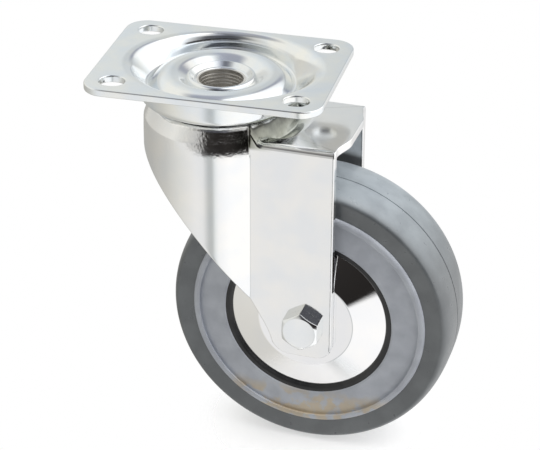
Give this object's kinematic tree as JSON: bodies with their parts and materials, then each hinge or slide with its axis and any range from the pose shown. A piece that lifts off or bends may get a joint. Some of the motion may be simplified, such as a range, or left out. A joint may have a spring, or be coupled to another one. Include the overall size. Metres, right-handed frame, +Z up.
{
  "type": "swivel castor",
  "caption": "Swivel castor with a slotted pressed steel top plate, a ball-bearing swivel fork and a rubber-tyred wheel on a roller bearing.",
  "frame": {"origin": "the middle of the top plate's upper face, on the swivel axis", "axes": "+Z up along the swivel axis and out of the plate's upper face, +X along the plate's long side, the way the wheel trails at rest, with the fork turned 3 degrees clockwise seen from above"},
  "size_m": [0.1007, 0.048, 0.108],
  "materials": {
    "zinc_plate": "bright zinc, satin",
    "kingpin_steel": "zinc, worn in the bore",
    "race_steel": "satin",
    "bearing_steel": "polished, lightly greased",
    "zinc_fork": "bright zinc, satin",
    "zinc_bolt": "bright zinc",
    "blue_nylon": "matte",
    "pale_nylon": "matte",
    "grey_rubber": "matte, moulded",
    "grey_centre": "matte, moulded",
    "black_core": "matte",
    "bright_zinc": "bright zinc, glossy"
  },
  "bodies": {
    "plate": {"top_plate": "zinc_plate", "kingpin": "kingpin_steel", "lower_race": "race_steel"},
    "upper_balls": {"upper_balls": "bearing_steel"},
    "lower_balls": {"lower_balls": "bearing_steel"},
    "fork": {"fork": "zinc_fork", "axle_bolt": "zinc_bolt", "axle_washer": "zinc_bolt", "axle_nut": "zinc_bolt", "nut_lock_ring": "blue_nylon", "axle_sleeve": "race_steel", "hub_washers": "pale_nylon"},
    "wheel": {"tyre": "grey_rubber", "wheel_centre": "grey_centre", "hub_core": "black_core", "cover_disc_outer": "bright_zinc", "cover_disc_inner": "bright_zinc", "bearing_liner": "race_steel"},
    "rollers": {"roller_cage": "pale_nylon", "bearing_rollers": "bearing_steel"}
  },
  "joints": [
    {"name": "fork_swivel", "type": "hinge", "parent": "plate", "child": "fork", "pos_m": [0, 0, 0], "axis": [0, 0, 1], "continuous": true},
    {"name": "upper_balls_roll", "type": "hinge", "parent": "plate", "child": "upper_balls", "pos_m": [0, 0, 0], "axis": [0, 0, 1], "continuous": true},
    {"name": "lower_balls_roll", "type": "hinge", "parent": "plate", "child": "lower_balls", "pos_m": [0, 0, 0], "axis": [0, 0, 1], "continuous": true},
    {"name": "wheel_spin", "type": "hinge", "parent": "fork", "child": "wheel", "pos_m": [0.02826, -0.00148, -0.068], "axis": [0.0523, 0.9986, 0], "continuous": true},
    {"name": "rollers_orbit", "type": "hinge", "parent": "fork", "child": "rollers", "pos_m": [0.02826, -0.00148, -0.068], "axis": [0.0523, 0.9986, 0], "continuous": true}
  ],
  "couplings": [
    {"joint": "upper_balls_roll", "follows": "fork_swivel", "ratio": 0.5},
    {"joint": "lower_balls_roll", "follows": "fork_swivel", "ratio": 0.5},
    {"joint": "rollers_orbit", "follows": "wheel_spin", "ratio": 0.6226}
  ]
}
